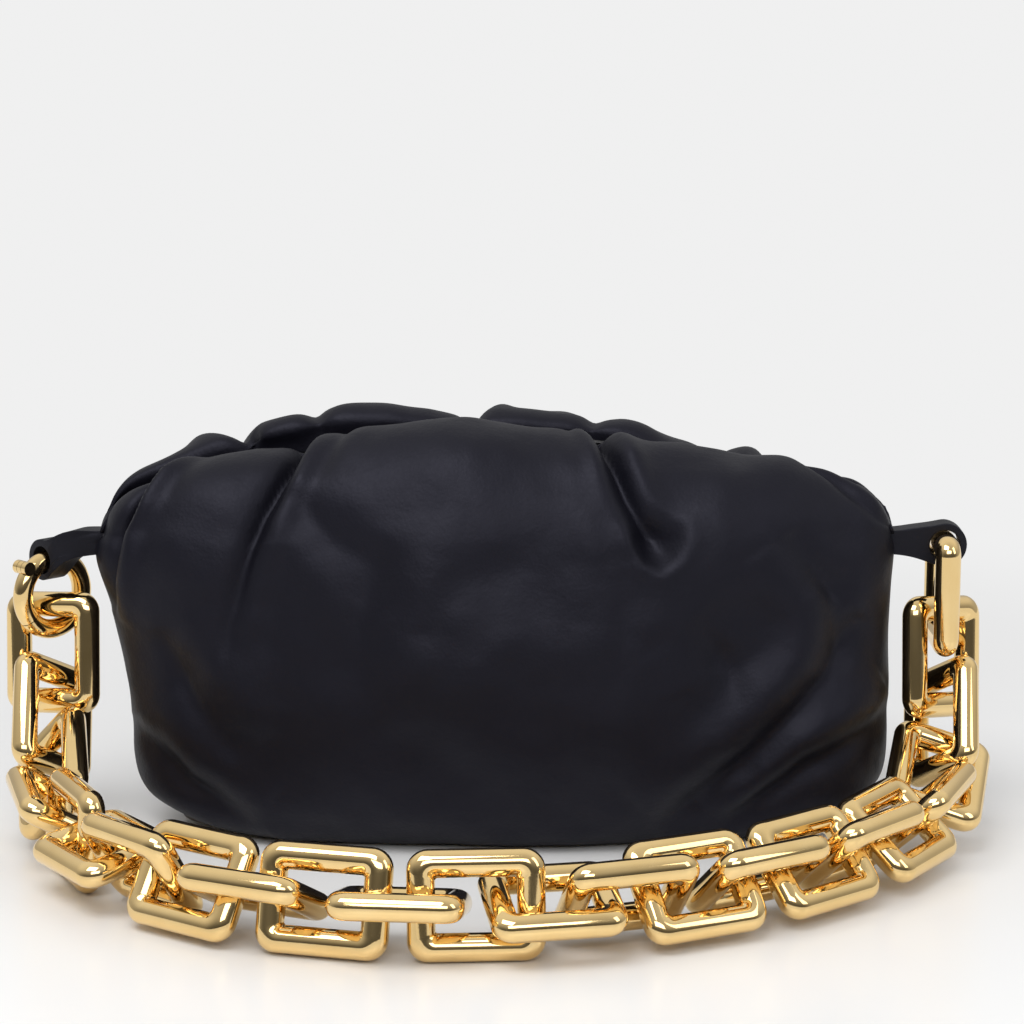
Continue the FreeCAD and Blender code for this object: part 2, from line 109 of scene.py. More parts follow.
class Nodes:
    """A node tree that takes nodes by type; place is where its patterns lie."""

    def __init__(self, tree, coordinate):
        self.tree = tree
        self.place = self.node("ShaderNodeTexCoord").outputs[coordinate]

    def node(self, kind, settings=None, sockets=None):
        made = self.tree.nodes.new(kind)
        for name, value in (settings or {}).items():
            setattr(made, name, value)
        for name, value in (sockets or {}).items():
            self.put(made.inputs[name], value)
        return made

    def put(self, socket, value):
        if isinstance(value, Value):
            value = value.socket
        if isinstance(value, bpy.types.NodeSocket):
            self.tree.links.new(value, socket)
        else:
            socket.default_value = value

    def noise(self, scale, detail=3.0, rough=0.5, at=None):
        """Noise over the place, or over another vector."""
        made = self.node("ShaderNodeTexNoise", {}, {
            "Vector": at or self.place, "Scale": scale, "Detail": detail, "Roughness": rough})
        return Value(self, made.outputs["Fac"])

    def ramp(self, fac, stops):
        """A colour ramp from a list of place and colour."""
        made = self.node("ShaderNodeValToRGB", {}, {"Fac": fac})
        points = made.color_ramp.elements
        while len(points) < len(stops):
            points.new(0.5)
        for point, (place, colour) in zip(points, stops):
            point.position, point.color = place, (*colour, 1)
        return made.outputs["Color"]

    def axis(self, name):
        """One coordinate of the place."""
        made = self.node("ShaderNodeSeparateXYZ", {}, {"Vector": self.place})
        return Value(self, made.outputs[name])

    def smooth(self, value, start, end):
        """0 before start, 1 after end, smooth between."""
        made = self.node("ShaderNodeMapRange", {"interpolation_type": "SMOOTHSTEP"}, {
            "Value": value, "From Min": start, "From Max": end})
        return Value(self, made.outputs["Result"])


class Finish(Nodes):
    """One material: a Principled shader, and what feeds it."""

    def __init__(self, name, **constants):
        self.material = bpy.data.materials.new(name)
        self.material.use_nodes = True
        super().__init__(self.material.node_tree, "Object")
        self.shader = self.tree.nodes["Principled BSDF"]
        for socket, value in constants.items():
            self.shader.inputs[socket.replace("_", " ")].default_value = value

    def bump(self, height, depth, strength):
        """Relief that is only in the light; depth in metres."""
        made = self.node("ShaderNodeBump", {}, {
            "Height": height, "Distance": depth, "Strength": strength})
        self.put(self.shader.inputs["Normal"], made.outputs["Normal"])

    def set(self, socket, value):
        self.put(self.shader.inputs[socket], value)


print("helpers", Value.__name__, Nodes.__name__, Finish.__name__)

# %% [markdown]
# The pouch is two soft panels, front and rear, that meet at the ends and under the base. Its shape is
# written down as levels, as a boat's lines are: at each height, how long and how deep the bag is. That
# is easier to fit to a photograph than pushing points about by hand.

# %% The bag's levels, in millimetres
LIP = (150, 48, 24)
LEVELS = (
    # height, half length to the left and to the right, half depth, end radius
    (110, 154.5, 152, 54, 31), (92, 150, 150, 59, 37), (74, 145, 150, 61, 41),
    (55, 141.5, 150, 61.5, 44), (34, 139.5, 150.5, 59, 40), (14, 137, 149, 53, 36),
    (4.5, 132, 143, 46, 33), (0.6, 122, 133, 38, 27))
BASE_CURL, CURL_FROM, CURL_DEPTH = 9.0, 85.0, 12.0
HEM_REACH = 7.6
LIP_ROWS = (
    # reach and rise of each row of the lip, as shares of the lip's radius
    (None, 0.70), (None, 0.84), (0.17, 0.945), (0.27, 1.0), (0.47, 0.985), (0.72, 0.84),
    (0.93, 0.56), (1.06, 0.26))
EDGE_ROW = 2
BASE_ROWS = ((0.97, 0.5), (0.95, 0.0))
print("levels", len(LEVELS), "from", LEVELS[0][0], "mm down to", LEVELS[-1][0], "mm")

# %% [markdown]
# Each panel is one grid. Its rows are ovals, from the hem on the mouth frame, over the lip, down the
# belly and under the base, so the leather swells like a pillow and narrows to the hinge at each end. A
# smooth curve through the rows gives the sheet between them.


# %% Ovals, rows and the sheet through them
def oval(along, length, depth, rounding):
    """The front half of an oval: along runs from -1 at its left end to 1 at its right end."""
    side = ((length - rounding) ** 2 / (depth - rounding) + rounding + depth) / 2
    turn = math.atan2(side - depth, length - rounding)
    long_part, end_part = side * (math.pi / 2 - turn), rounding * turn
    travel = np.abs(along) * (long_part + end_part)
    bow = np.minimum(travel, long_part) / side
    tip = turn - np.maximum(travel - long_part, 0) / rounding
    on_end = travel > long_part
    x = np.where(on_end, length - rounding + rounding * np.cos(tip), side * np.sin(bow))
    y = np.where(on_end, rounding * np.sin(tip), side * np.cos(bow) - side + depth)
    return np.sign(along) * x, y


def eased(x, keys):
    """Read a list of place and value at x, with smooth turns between the places."""
    places, values = np.array(keys, float).T
    step = np.clip(np.searchsorted(places, x) - 1, 0, len(places) - 2)
    share = np.clip((x - places[step]) / (places[step + 1] - places[step]), 0, 1)
    share = share * share * (3 - 2 * share)
    return values[step] * (1 - share) + values[step + 1] * share


def panel_rows(along, tops, inset=0.0):
    """The rows of one panel, from the hem to the middle of the base, drawn in by an inset."""
    x, radius = oval(along, *LIP)
    rise = radius * eased(x, tops)
    rows = []
    for reach, height in LIP_ROWS:
        out = np.minimum(HEM_REACH, radius) if reach is None else np.maximum(reach * radius, 0)
        rows.append((x, out - inset * np.minimum(radius / LIP[1], 1), HINGE / MM + height * rise))
    for level, left, right, depth, rounding in LEVELS:
        ends = [oval(along, length - inset, depth - inset, rounding - inset) for length in (left, right)]
        x, out = (np.where(along < 0, *pair) for pair in zip(*ends))
        curl = BASE_CURL * np.clip((np.abs(x) - CURL_FROM) / (left - CURL_FROM), 0, 1) ** 2
        rows.append((x, out, max(level, inset) + curl * math.exp(-level / CURL_DEPTH)))
    x, out, z = rows[-1]
    rows += [(x * length, out * depth, z) for length, depth in BASE_ROWS]
    return np.array([np.stack((x, -out, z), axis=1) for x, out, z in rows])


def through_rows(rows, count):
    """A smooth sheet through the rows; also how far down the leather each new row lies."""
    middle = rows[:, rows.shape[1] // 2]
    steps = np.linalg.norm(np.diff(middle, axis=0), axis=1)
    mark = np.concatenate(([0.0], np.cumsum(steps)))
    slope = np.gradient(rows, mark, axis=0)
    down = np.linspace(0, mark[-1], count)
    step = np.clip(np.searchsorted(mark, down) - 1, 0, len(mark) - 2)
    width = (mark[step + 1] - mark[step])[:, None, None]
    t = ((down - mark[step])[:, None, None]) / width
    sheet = ((2 * t**3 - 3 * t**2 + 1) * rows[step] + (t**3 - 2 * t**2 + t) * width * slope[step]
             + (3 * t**2 - 2 * t**3) * rows[step + 1] + (t**3 - t**2) * width * slope[step + 1])
    return sheet, down - mark[EDGE_ROW]


places = oval(np.array((-1.0, 0.0, 1.0)), *LIP)
print("the lip's oval at its ends and middle, in mm", np.round(places, 1).tolist())

# %% [markdown]
# Leather creases where it is gathered. Each fold is a line drawn on the panel, in millimetres
# across the bag and down from the lip's edge. A fold has a sharp valley and a soft ridge beside it, and
# fades along its length. Drawing folds beats a cloth simulation here: these are the folds that the
# photograph shows, and they stay the same each run.

# %% Shapes of folds and swells
RIDGE_STARTS = 26.0
RIDGE_AT, RIDGE_WIDTH = 2.1, 1.4
VALLEY_POWER, RISE_POWER = 1.5, 0.7


class Fold:
    """A crease: its line, valley depth and half width, its ridge's height and side, how fast it fades
    along the line, and over what share of the line it rises at the start."""

    def __init__(self, line, depth, width, ridge=0.0, side=0, fade=1.0, rise=0.0):
        self.line = np.array(line, float)
        self.depth, self.width, self.ridge, self.side = depth, width, ridge, side
        self.fade, self.rise = fade, rise

    def press(self, x, down):
        """How far the fold moves the leather out (plus) or in (minus) at each point."""
        nearest = np.full(x.shape, 1e9)
        offset, share = np.zeros(x.shape), np.zeros(x.shape)
        lengths = np.linalg.norm(np.diff(self.line, axis=0), axis=1)
        marks = np.concatenate(([0.0], np.cumsum(lengths))) / lengths.sum()
        for index, ((x0, s0), (x1, s1)) in enumerate(zip(self.line, self.line[1:])):
            ux, us = (x1 - x0) / lengths[index], (s1 - s0) / lengths[index]
            run = np.clip((x - x0) * ux + (down - s0) * us, 0, lengths[index])
            dx, ds = x - x0 - run * ux, down - s0 - run * us
            distance = np.hypot(dx, ds)
            closer = distance < nearest
            side = np.sign(dx * us - ds * ux)
            nearest = np.where(closer, distance, nearest)
            offset = np.where(closer, side * distance, offset)
            here = marks[index] + run / lengths[index] * (marks[index + 1] - marks[index])
            share = np.where(closer, here, share)
        strength = (1 - share) ** self.fade
        if self.rise:
            strength = strength * np.clip(share / self.rise, 0, 1) ** RISE_POWER
        valley = -self.depth / (1 + (offset / self.width) ** 2) ** VALLEY_POWER
        where = offset - self.side * RIDGE_AT * self.width
        if self.side == 0:
            where = np.abs(offset) - RIDGE_AT * self.width
        ridge = self.ridge * np.exp(-((where / (RIDGE_WIDTH * self.width)) ** 2))
        below_lip = np.clip((down + 2) / RIDGE_STARTS, 0, 1)
        return strength * (valley + ridge * below_lip)


class Swell:
    """A round bulge, or with a minus height a hollow: its place, its reach both ways, its height."""

    def __init__(self, x, down, reach_x, reach_down, height):
        self.at, self.reach, self.height = (x, down), (reach_x, reach_down), height

    def press(self, x, down):
        across, along = (x - self.at[0]) / self.reach[0], (down - self.at[1]) / self.reach[1]
        return self.height * np.exp(-(across ** 2) - along ** 2)


plain = Fold(((0, 0), (0, 10)), depth=1, width=1)
print("a fold of depth 1 moves the leather at its start by", plain.press(np.zeros(1), np.zeros(1)), "mm")

# %% [markdown]
# These are the folds of the bag in the photograph: two long gathers on the left, a deep tuck with a round
# lip right of the middle, creases where the leather turns under at the ends, and slow bulges between
# them. The back isn't seen there, so its folds are of the same kind and their places are a guess.

# %% Folds of the front and the rear
FRONT_TOPS = ((-150, 1.05), (-115, 1.05), (-73, 0.94), (-50, 1.03), (-14, 0.965), (37, 0.935), (60, 0.92),
              (87, 0.945), (112, 1.14), (150, 1.0))
REAR_TOPS = ((-150, 1.2), (-135, 1.14), (-114, 1.1), (-76, 1.12), (-10, 0.99), (47, 0.95), (70, 0.82),
             (100, 0.88), (128, 1.02), (150, 1.1))
FRONT_FOLDS = (
    Fold(((-66, -14), (-72, 6), (-79, 32), (-86, 52), (-92, 72), (-98, 96), (-100, 118)),
         13, 3.4, 5, 1, 1.1),
    Fold(((-114, -10), (-122, 8), (-131, 30), (-140, 58), (-145, 84), (-147, 100)), 17, 3.2, 8, 1, 0.5),
    Fold(((33, -14), (37, 4), (40, 16), (44, 32), (48, 45), (53, 55), (58, 62)), 13, 3.6, 4, 0, 0.6),
    Fold(((46, 54), (48, 64), (53, 73), (60, 76), (66, 72), (70, 63), (70, 50)), -4.2, 4.8, 0, 0, 0.7, 0.3),
    Swell(58, 62, 8, 10, -7.5),
    Fold(((-54, -10), (-57, 12), (-64, 30), (-69, 46)), 2.4, 3, 1.2, 1, 1.2),
    Fold(((24, -10), (28, 14), (33, 34), (36, 48)), 2.4, 3, 1.2, -1, 1.2),
    Fold(((96, -10), (112, 6), (128, 22), (145, 46)), 5, 4, 4, 1, 0.8),
    Fold(((118, -6), (130, 6), (142, 22)), 3, 3.5, 2.5, 1, 0.9),
    Fold(((34, 44), (34, 62), (31, 92)), -2.2, 9, 0, 0, 0.8, 0.3),
    Fold(((44, 74), (46, 98), (40, 130)), 2.4, 9, 0, 0, 0.7, 0.3),
    Fold(((-86, 66), (-82, 100), (-74, 136)), 2.8, 11, 0, 0, 0.7, 0.3),
    Fold(((60, 174), (93, 148), (122, 120), (138, 96)), 7.5, 7, 6.5, 1, 0.4, 0.35),
    Fold(((84, 176), (117, 152), (152, 138)), 7, 6, 6, 1, 0.4, 0.35),
    Fold(((-138, 138), (-118, 160), (-90, 176)), 6.5, 7, 5, 1, 0.5, 0.35),
    Fold(((-126, 100), (-112, 128), (-96, 148)), 4.5, 7, 3.6, 1, 0.6, 0.35),
    Fold(((106, 60), (124, 84), (132, 116)), 5, 7, 4, -1, 0.6, 0.35),
    Fold(((72, 92), (86, 112), (90, 140)), 4, 8, 3, -1, 0.6, 0.35),
    Fold(((-40, 62), (-50, 92), (-46, 126)), 3.2, 8, 2.6, 1, 0.7, 0.35),
    Fold(((-76, 40), (-60, 62), (-36, 78)), 2.2, 7, 2.0, -1, 0.8, 0.35),
    Swell(-112, 60, 24, 44, 8), Swell(-22, 44, 50, 38, 4), Swell(102, 50, 36, 38, 6),
    Swell(-30, 70, 16, 14, 1.6), Swell(4, 60, 14, 16, -1.4), Swell(20, 128, 90, 40, 3))
REAR_FOLDS = (
    Fold(((-92, -16), (-96, 8), (-108, 40), (-118, 74)), 10, 5, 4, -1, 1.2),
    Fold(((-66, -16), (-70, 14), (-80, 46)), 6, 5, 3, 1, 1.2),
    Fold(((-12, -16), (-10, 10), (-4, 44), (2, 84)), 9, 4.4, 4, 1, 1.2),
    Fold(((34, -16), (38, 14), (34, 44)), 6, 5, 3, -1, 1.2),
    Fold(((76, -16), (82, 10), (94, 46), (104, 80)), 9, 5, 4, 1, 1.1),
    Fold(((112, -12), (126, 14), (140, 40)), 5, 4.5, 3, 1, 1.0),
    Fold(((-97, 12), (-107, 42), (-114, 78), (-116, 112)), 6, 4.5, 5, -1, 0.7, 0.3),
    Fold(((-71, 14), (-79, 44), (-82, 74)), 4, 4.5, 3, 1, 0.7, 0.3),
    Fold(((-9, 12), (-4, 44), (3, 84), (4, 116)), 6, 4.5, 5, 1, 0.7, 0.3),
    Fold(((38, 14), (33, 46), (28, 72)), 4, 4.8, 3, -1, 0.7, 0.3),
    Fold(((83, 12), (94, 46), (104, 80), (108, 112)), 6, 4.5, 5, 1, 0.7, 0.3),
    Fold(((-62, 174), (-92, 152), (-118, 128), (-134, 104)), 6.5, 7, 6, 1, 0.4, 0.35),
    Fold(((58, 174), (90, 150), (116, 124), (132, 100)), 6.5, 7, 6, -1, 0.4, 0.35),
    Fold(((92, 176), (122, 154), (146, 140)), 5, 6, 4, -1, 0.5, 0.35),
    Fold(((-42, 66), (-56, 96), (-52, 130)), 4, 8, 3, 1, 0.7, 0.35),
    Fold(((56, 62), (66, 94), (60, 130)), 4, 8, 3, -1, 0.7, 0.35),
    Fold(((-24, 152), (16, 132), (58, 128)), 3.2, 9, 2.6, 1, 0.6, 0.35),
    Swell(-116, 30, 26, 40, 5), Swell(-40, 40, 30, 40, 4), Swell(60, 46, 30, 40, 4))
print("folds and swells: front", len(FRONT_FOLDS), "rear", len(REAR_FOLDS))

# %% [markdown]
# Before the folds are pressed in, the rows are eased at the ends, where the lip turns into the wall. Slack
# leather is never quite smooth, so three sizes of noise give it slow swells as well. Noise from a fixed
# place is the same each run, where random numbers would need a seed.

# %% Ease and slack
RELAX_FROM, RELAX_ROUNDS, RELAX_SHARE = 0.55, 60, 0.5
SLUMPS = ((3.0, 0.016), (2.2, 0.034), (0.6, 0.08))


def relaxed(sheet, along):
    """Ease the crease at each end, where the lip turns into the wall, by averaging down the rows."""
    share = np.clip((np.abs(along) - RELAX_FROM) / (1 - RELAX_FROM), 0, 1) ** 0.5
    weight = (RELAX_SHARE * share)[None, :, None]
    for _ in range(RELAX_ROUNDS):
        middle = (sheet[:-2] + sheet[2:]) / 2
        sheet = np.concatenate((sheet[:1], sheet[1:-1] + weight * (middle - sheet[1:-1]), sheet[-1:]))
    return sheet


def slump(points, seed):
    """Slow swells of slack leather, up to a few millimetres."""
    swells = np.zeros(len(points))
    for height, pace in SLUMPS:
        start = Vector((seed, seed, 0))
        swells += height * np.array([noise.noise(Vector(point) * pace + start) for point in points])
    return swells


def outward(sheet):
    """Unit normals of a sheet of points."""
    found = np.cross(np.gradient(sheet, axis=0), np.gradient(sheet, axis=1))
    size = np.linalg.norm(found, axis=2, keepdims=True)
    return found / np.maximum(size, 1e-9)


print("slack at one place, in mm", slump(np.array(((10.0, 20.0, 30.0),)), 3.0))

# %% [markdown]
# A mesh is then laid over the points. The grid is one operator, and merging its doubles closes it where
# the rows run together at the ends. A Solidify modifier gives the sheet its thickness, inwards, so that the
# points stay the outside of the bag.

# %% From points to a mesh
WELD, SLIVER = 0.02 * MM, 0.01 * MM


def finished(name, bm):
    """Turn a bmesh into a smooth object of the scene."""
    mesh = bpy.data.meshes.new(name)
    for face in bm.faces:
        face.smooth = True
    bm.to_mesh(mesh)
    bm.free()
    piece = bpy.data.objects.new(name, mesh)
    bpy.context.collection.objects.link(piece)
    return piece


def laid_grid(points):
    """A grid laid over rows of points, in millimetres, and welded where they meet."""
    rows, columns = points.shape[:2]
    bm = bmesh.new()
    bmesh.ops.create_grid(bm, x_segments=columns - 1, y_segments=rows - 1, size=0.5)
    for vert in bm.verts:
        column = round((vert.co.x + 0.5) * (columns - 1))
        row = round((vert.co.y + 0.5) * (rows - 1))
        vert.co = Vector(points[row, column]) * MM
    bmesh.ops.remove_doubles(bm, verts=bm.verts, dist=WELD)
    bmesh.ops.dissolve_degenerate(bm, edges=bm.edges, dist=SLIVER)
    bmesh.ops.recalc_face_normals(bm, faces=bm.faces)
    return bm


def sheet_mesh(name, sheet, thickness):
    """A sheet of leather or cloth, with its thickness inwards; prints how wide and long it was cut."""
    bm = laid_grid(sheet)
    girth = np.linalg.norm(np.diff(sheet, axis=1), axis=2).sum(axis=1).max()
    fall = np.linalg.norm(np.diff(sheet[:, sheet.shape[1] // 2], axis=0), axis=1).sum()
    print(name, "girth", round(girth), "mm, fall", round(fall), "mm, faces", len(bm.faces))
    middle = max(bm.faces, key=lambda face: abs(face.calc_center_median().y))
    if middle.normal.y * middle.calc_center_median().y < 0:
        bmesh.ops.reverse_faces(bm, faces=bm.faces)
    piece = finished(name, bm)
    thick = piece.modifiers.new("thickness", "SOLIDIFY")
    thick.thickness, thick.offset, thick.use_even_offset = thickness * MM, -1, False
    return piece


print("points closer than", WELD / MM, "mm are merged")

# %% [markdown]
# A panel goes through all of that: rows, easing, folds and slack pushed along the normals, and the mesh.
# The push dies away at the hem, under the base and at the two ends, so that the panels still meet there.

# %% A leather panel
ACROSS, DOWN = 261, 150
LEATHER = 1.6
FOLDS_FROM, FOLDS_FULL = -13.0, 5.0
BASE_FROM, BASE_TO = 165.0, 205.0
END_POWER, FLOOR_GAP = 14, 0.3


def leather_panel(name, way, tops, folds, seed):
    """One side of the pouch; way is 1 for the front and -1 for the rear."""
    along = np.linspace(-1, 1, ACROSS)
    sheet, down = through_rows(panel_rows(along, tops), DOWN)
    sheet = relaxed(sheet, along)
    x = sheet[..., 0]
    depth_down = np.broadcast_to(down[:, None], x.shape)
    push = sum(fold.press(x, depth_down) for fold in folds)
    push = push + slump(sheet.reshape(-1, 3), seed).reshape(x.shape)
    inner = np.clip((depth_down - FOLDS_FROM) / (FOLDS_FULL - FOLDS_FROM), 0, 1)
    base = np.clip((BASE_TO - depth_down) / (BASE_TO - BASE_FROM), 0, 1)
    ends = 1 - np.abs(along) ** END_POWER
    sheet = sheet + outward(sheet) * (push * inner * base * ends[None, :])[..., None]
    sheet[..., 2] = np.maximum(sheet[..., 2], FLOOR_GAP)
    sheet[..., 1] = np.minimum(sheet[..., 1], 0.0) * way
    return sheet_mesh(name, sheet, LEATHER)


print("each panel's grid has", ACROSS, "by", DOWN, "points")

# %% [markdown]
# Now the two panels. They differ in their folds and in the height of the lip along the mouth. Otherwise
# the rear one mirrors the front one, so that the two meet along the ends and under the base.

# %% Front and rear leather
front_leather = leather_panel("front_leather", 1, FRONT_TOPS, FRONT_FOLDS, 3.0)
rear_leather = leather_panel("rear_leather", -1, REAR_TOPS, REAR_FOLDS, 11.0)

# %% [markdown]
# Inside, a cloth lining hangs from the mouth frame down to the base board. It shows only when the mouth
# opens, so it is a plain smooth sheet that follows the same rows, about a centimetre inside the leather.

# %% Lining
CLOTH, LINING_INSET, LINING_REST, LINING_SHORT = 0.8, 9.0, 10.0, 0.985
LINING_TOP = ((0.2, 0.66), (0.46, 0.52), (0.74, 0.27))
LINING_GRID = (121, 60)


def lining_half(name, way):
    """One side of the lining; way is 1 for the front and -1 for the rear."""
    along = np.linspace(-1, 1, LINING_GRID[0])
    x, radius = oval(along, *LIP)
    rows = [np.stack((x * LINING_SHORT, -share * radius, HINGE / MM + rise * radius), axis=1)
            for share, rise in LINING_TOP]
    rows = np.concatenate((rows, panel_rows(along, FRONT_TOPS, LINING_INSET)[len(LIP_ROWS):]))
    sheet, _ = through_rows(rows, LINING_GRID[1])
    sheet[..., 2] = np.maximum(sheet[..., 2], LINING_REST)
    sheet[..., 1] = np.minimum(sheet[..., 1], 0.0) * way
    return sheet_mesh(name, sheet, CLOTH)


front_lining = lining_half("front_lining", 1)
rear_lining = lining_half("rear_lining", -1)

# %% [markdown]
# Each loop is one leather band: out of the bag's end, round the metal that hangs in it, and back. The
# left one also twists, because the gate ring hangs turned. Seen from the front a band is an eye with a
# neck, so two circles are bridged, the outer one is drawn out to the neck, and the face is extruded to
# the band's width. That keeps the hole true, which bending a strip round it would not. A bevel rounds
# the cut edges, and one subdivision softens the whole band.

# %% Loops
BAND_HALF, BAND_EDGE = 4.7 * MM, 1.35 * MM
EDGE_STEPS, EDGE_ANGLE = 4, math.radians(50)
EYE_STEPS, NECK_CUTS, LONG_EDGE = 40, 3, 1.5
NECK_FROM, NECK_POWER, NECK_SQUARE = 0.1, 1.2, 12
TWIST_FROM, LIFT_FROM, LIFT_OVER = 0.6, 0.2, 1.4
ROOT, ROOT_HALF = 0.1475, 4.7 * MM


def smoothed(share):
    """0 up to 0, 1 from 1, smooth between."""
    share = min(max(share, 0.0), 1.0)
    return share * share * (3 - 2 * share)


def band(name, eye, hole, outer, twist):
    """A leather loop: an eye with a hole, and a neck that runs to its root in the bag's end."""
    reach, way = abs(eye.x) - ROOT, -math.copysign(1, eye.x)
    bm = bmesh.new()
    rims = [bmesh.ops.create_circle(bm, segments=EYE_STEPS, radius=r)["verts"] for r in (hole, outer)]
    for vert in rims[1]:
        along, up = vert.co.x, vert.co.y
        neck = min(max((along / outer - NECK_FROM) / (1 - NECK_FROM), 0), 1)
        squared = max(-1.0, min(1.0, NECK_SQUARE * up / outer))
        vert.co.x = along + (reach - outer) * neck ** NECK_POWER
        vert.co.y = up * (1 - neck) + ROOT_HALF * squared * neck
    bmesh.ops.bridge_loops(bm, edges=bm.edges)
    long_edges = [edge for edge in bm.edges if edge.calc_length() > LONG_EDGE * (outer - hole)]
    bmesh.ops.subdivide_edges(bm, edges=long_edges, cuts=NECK_CUTS)
    made = bmesh.ops.extrude_face_region(bm, geom=bm.faces)["geom"]
    lifted = [item for item in made if isinstance(item, bmesh.types.BMVert)]
    bmesh.ops.translate(bm, verts=lifted, vec=(0, 0, 2 * BAND_HALF))
    for vert in bm.verts:
        share = 1 - smoothed((vert.co.x - TWIST_FROM * outer) / (reach - TWIST_FROM * outer))
        past_hole = min(max((vert.co.xy.length - hole) / (outer - hole), 0), 1)
        lift = (HINGE - eye.z) * past_hole * smoothed((vert.co.x / outer - LIFT_FROM) / LIFT_OVER)
        turn = twist * share
        along, up, across = way * vert.co.x, vert.co.y, vert.co.z - BAND_HALF
        vert.co = Vector((eye.x + along * math.cos(turn) - across * math.sin(turn),
                          along * math.sin(turn) * share + across * math.cos(turn),
                          eye.z + up + lift))
    bmesh.ops.recalc_face_normals(bm, faces=bm.faces)
    piece = finished(name, bm)
    edge = piece.modifiers.new("cut edge", "BEVEL")
    edge.width, edge.segments = BAND_EDGE, EDGE_STEPS
    edge.limit_method, edge.angle_limit = "ANGLE", EDGE_ANGLE
    soft = piece.modifiers.new("soft", "SUBSURF")
    soft.levels = soft.render_levels = 1
    return piece


right_band = band("right_band", eye=Vector((170.5, 0, 109)) * MM, hole=5.7 * MM, outer=8.5 * MM, twist=0.0)
left_band = band("left_band", eye=Vector((-170.5, 0, 103)) * MM, hole=5.3 * MM, outer=8.0 * MM,
                 twist=math.radians(-45))
for loop in (right_band, left_band):
    print(loop.name, len(loop.data.vertices), "points")

# %% [markdown]
# The chain's links are heavy rounded rectangles: round outside corners, tight inside corners, round bars.
# The CAD links carry the size, place and tilt of each one, and their area's moments give its three axes.
# A bevelled box would pinch at the inside corners, so a grid is wrapped round the bar instead: each row is
# a rounded rectangle, whose corner tightens from the outside of the bar to its inside.

# %% Chain links
CORNER, INNER_CORNER, SLIM = 7.4, 0.9, 0.975
BAR_STEPS, CORNER_STEPS = 28, 8
QUARTERS = ((1, 1), (-1, 1), (-1, -1), (1, -1))


def axes_of(node):
    """The middle, the three axes and the half sizes of a CAD link in millimetres, longest first."""
    points = np.array([v.co for v in node.data.vertices]) / MM
    node.data.calc_loop_triangles()
    corners = points[np.array([t.vertices for t in node.data.loop_triangles])]
    areas = np.array([t.area for t in node.data.loop_triangles])[:, None, None]
    middle = (points.min(axis=0) + points.max(axis=0)) / 2
    corners = corners - middle
    total = corners.sum(axis=1)[:, None, :]
    spread = corners.transpose(0, 2, 1) @ corners + total.transpose(0, 2, 1) @ total
    axes = np.linalg.eigh((areas * spread).sum(axis=0))[1][:, ::-1]
    along = (points - middle) @ axes
    return middle, axes, (along.max(axis=0) - along.min(axis=0)) / 2


def gold_link(name, middle, axes, half):
    """A link of round bar, with its corners round outside and tight inside."""
    bar = SLIM * half[2]
    rows = []
    for lean in np.linspace(0, 2 * math.pi, BAR_STEPS + 1):
        inwards = bar * (1 - math.cos(lean))
        corner = INNER_CORNER + (CORNER - INNER_CORNER) * (1 + math.cos(lean)) / 2
        row = []
        for quarter, (way_x, way_y) in enumerate(QUARTERS):
            turn = np.linspace(quarter, quarter + 1, CORNER_STEPS + 1) * math.pi / 2
            row.append(np.stack((way_x * (half[0] - inwards - corner) + corner * np.cos(turn),
                                 way_y * (half[1] - inwards - corner) + corner * np.sin(turn),
                                 np.full(turn.shape, bar * math.sin(lean))), axis=1))
        rows.append(np.concatenate(row + [row[0][:1]]))
    return finished(name, laid_grid(np.array(rows) @ axes.T + middle))


links = {}
for name, node in frame["nodes"].items():
    if name.startswith("link_"):
        links[name] = gold_link(f"gold_{name}", *axes_of(node))
print("links", len(links), "faces in each", len(links["link_01"].data.polygons))

# %% [markdown]
# The leather is near black with a cool cast and a satin sheen. A fine pebble grain from Voronoi cells and
# small creases break up its gloss, and slow noise varies it as handling does. A plain dark colour would
# look like rubber: it is the uneven gloss that says leather.


# %% Leather finish
def leather_finish(name, tint):
    finish = Finish(name, Specular_IOR_Level=0.25, Specular_Tint=(0.79, 0.79, 1.0, 1))
    patches = finish.noise(scale=14.0, detail=4.0)
    mottle = finish.noise(scale=48.0, detail=5.0, rough=0.6)
    pebble = finish.node("ShaderNodeTexVoronoi", {"feature": "SMOOTH_F1"}, {
        "Vector": finish.place, "Scale": 850.0, "Smoothness": 0.6})
    creases = finish.noise(scale=70.0, detail=3.0, rough=0.55)
    grain = Value(finish, pebble.outputs["Distance"])
    pores = finish.noise(scale=2600.0, detail=2.0)
    dark = tuple(part * 0.75 for part in tint)
    finish.set("Base Color", finish.ramp(patches, ((0.3, dark), (0.7, tint))))
    finish.set("Roughness", 0.30 + 0.14 * patches + 0.22 * mottle + 0.06 * grain)
    finish.bump(0.14 * grain + 0.05 * pores + 1.4 * creases, depth=0.0009, strength=0.4)
    return finish.material


leather = leather_finish("black_leather", (0.0042, 0.0040, 0.0072))
loop_leather = leather_finish("loop_leather", (0.007, 0.007, 0.009))
print("leather finish has", len(leather.node_tree.nodes), "nodes")

# %% [markdown]
# The chain is polished gold plate: faint wear and a breath of waviness keep its reflections from being
# perfect. The mouth frame, hidden in the leather, is black steel, brushed along its length, and the
# magnets are bright plates. One function with a stretched noise makes both brushed finishes.


